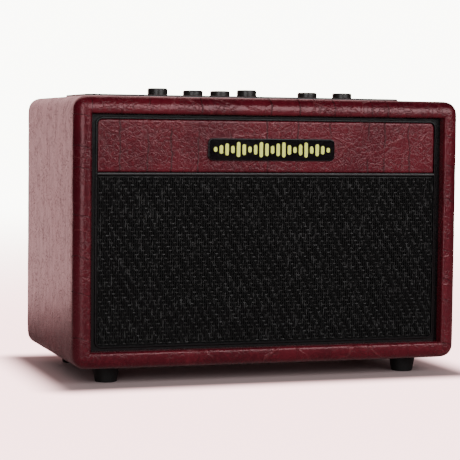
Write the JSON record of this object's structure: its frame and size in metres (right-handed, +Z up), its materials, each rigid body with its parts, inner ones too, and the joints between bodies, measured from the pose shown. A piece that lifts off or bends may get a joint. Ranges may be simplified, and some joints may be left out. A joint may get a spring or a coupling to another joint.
{
  "type": "guitar amplifier",
  "caption": "Small desktop guitar amplifier: creased oxblood vinyl over a wooden cabinet, black cloth grille, vinyl fascia with a plain badge, black knobs in a sunk top tray, rubber feet.",
  "frame": {"origin": "middle of the footprint, on the surface that the feet stand on", "axes": "+X to the right as seen from the front, +Y to the back, +Z up"},
  "size_m": [0.34, 0.188, 0.2456],
  "materials": {
    "oxblood_vinyl": "creased embossed vinyl, semi-gloss",
    "fibreboard": "raw fibreboard",
    "black_board": "black-painted fibreboard",
    "frame_plastic": "moulded, fine grain",
    "bead_plastic": "smooth dark grey",
    "grille_fabric": "coarse open weave",
    "badge_black": "gloss black",
    "badge_cream": "pale cream",
    "knob_plastic": "satin black, smooth",
    "button_plastic": "satin dark grey",
    "panel_plastic": "satin black, fine grain",
    "bright_steel": "zinc plated",
    "black_steel": "black finish",
    "ferrite": "grey ferrite and plated plates",
    "cone_paper": "pressed pulp",
    "roll_rubber": "soft black rubber",
    "spider_cloth": "resin-treated cloth",
    "copper_wire": "enamelled copper",
    "circuit_board": "green solder mask",
    "socket_plastic": "black moulding",
    "plated_nut": "nickel plated",
    "lens_plastic": "translucent red",
    "lead_plastic": "soft black jacket",
    "foot_rubber": "hard black rubber"
  },
  "bodies": {
    "cabinet": {"vinyl_covering": "oxblood_vinyl", "fascia_covering": "oxblood_vinyl", "top_board": "fibreboard", "bottom_board": "fibreboard", "left_board": "fibreboard", "right_board": "fibreboard", "battens": "fibreboard", "fascia_board": "fibreboard", "baffle_board": "black_board", "rear_panel": "black_board", "grille_frame": "frame_plastic", "grille_cloth": "grille_fabric", "divider_bead": "bead_plastic", "badge_plate": "badge_black", "badge_bars": "badge_cream", "speaker_screws": "black_steel", "rear_panel_screws": "black_steel", "foot_screws": "bright_steel", "socket_plate": "panel_plastic", "audio_sockets": "socket_plastic", "dc_socket": "socket_plastic", "usb_socket": "socket_plastic", "control_tray": "panel_plastic", "pot_bodies": "bright_steel", "control_board": "circuit_board", "amplifier_board": "circuit_board", "switch_bodies": "socket_plastic", "led_lenses": "lens_plastic", "input_jack": "socket_plastic", "jack_nut": "plated_nut", "speaker_leads": "lead_plastic", "feet": "foot_rubber", "left_basket": "black_steel", "left_magnet": "ferrite", "left_surround": "roll_rubber", "left_spider": "spider_cloth", "right_basket": "black_steel", "right_magnet": "ferrite", "right_surround": "roll_rubber", "right_spider": "spider_cloth"},
    "left_driver_cone": {"left_cone": "cone_paper", "left_voice_coil": "copper_wire"},
    "right_driver_cone": {"right_cone": "cone_paper", "right_voice_coil": "copper_wire"},
    "voice_control": {"voice_knob": "knob_plastic", "voice_shaft": "bright_steel"},
    "gain_control": {"gain_knob": "knob_plastic", "gain_shaft": "bright_steel"},
    "tone_control": {"tone_knob": "knob_plastic", "tone_shaft": "bright_steel"},
    "effect_control": {"effect_knob": "knob_plastic", "effect_shaft": "bright_steel"},
    "echo_control": {"echo_knob": "knob_plastic", "echo_shaft": "bright_steel"},
    "volume_control": {"volume_knob": "knob_plastic", "volume_shaft": "bright_steel"},
    "modulation_key": {"modulation_button": "button_plastic"},
    "delay_key": {"delay_button": "button_plastic"},
    "reverb_key": {"reverb_button": "button_plastic"},
    "power_key": {"power_button": "button_plastic"}
  },
  "joints": [
    {"name": "left_cone_travel", "type": "slide", "parent": "cabinet", "child": "left_driver_cone", "axis": [0, -1, 0], "range_m": [-0.002, 0.002], "stiffness_N_per_m": 1200, "deforming": ["left_surround", "left_spider"]},
    {"name": "right_cone_travel", "type": "slide", "parent": "cabinet", "child": "right_driver_cone", "axis": [0, -1, 0], "range_m": [-0.002, 0.002], "stiffness_N_per_m": 1200, "deforming": ["right_surround", "right_spider"]},
    {"name": "voice_turn", "type": "hinge", "parent": "cabinet", "child": "voice_control", "pos_m": [-0.0707, 0.014, 0.2314], "axis": [0, 0, 1], "range_deg": [-75, 75]},
    {"name": "gain_turn", "type": "hinge", "parent": "cabinet", "child": "gain_control", "pos_m": [-0.0383, 0.014, 0.2314], "axis": [0, 0, 1], "range_deg": [-150, 150]},
    {"name": "tone_turn", "type": "hinge", "parent": "cabinet", "child": "tone_control", "pos_m": [-0.0131, 0.014, 0.2314], "axis": [0, 0, 1], "range_deg": [-150, 150]},
    {"name": "effect_turn", "type": "hinge", "parent": "cabinet", "child": "effect_control", "pos_m": [0.012, 0.014, 0.2314], "axis": [0, 0, 1], "range_deg": [-75, 75]},
    {"name": "echo_turn", "type": "hinge", "parent": "cabinet", "child": "echo_control", "pos_m": [0.0699, 0.014, 0.2314], "axis": [0, 0, 1], "range_deg": [-150, 150]},
    {"name": "volume_turn", "type": "hinge", "parent": "cabinet", "child": "volume_control", "pos_m": [0.1038, 0.014, 0.2314], "axis": [0, 0, 1], "range_deg": [-150, 150]},
    {"name": "modulation_press", "type": "slide", "parent": "cabinet", "child": "modulation_key", "axis": [0, 0, -1], "range_m": [0, 0.0008], "stiffness_N_per_m": 800},
    {"name": "delay_press", "type": "slide", "parent": "cabinet", "child": "delay_key", "axis": [0, 0, -1], "range_m": [0, 0.0008], "stiffness_N_per_m": 800},
    {"name": "reverb_press", "type": "slide", "parent": "cabinet", "child": "reverb_key", "axis": [0, 0, -1], "range_m": [0, 0.0008], "stiffness_N_per_m": 800},
    {"name": "power_press", "type": "slide", "parent": "cabinet", "child": "power_key", "axis": [0, 0, -1], "range_m": [0, 0.0015], "stiffness_N_per_m": 800}
  ]
}
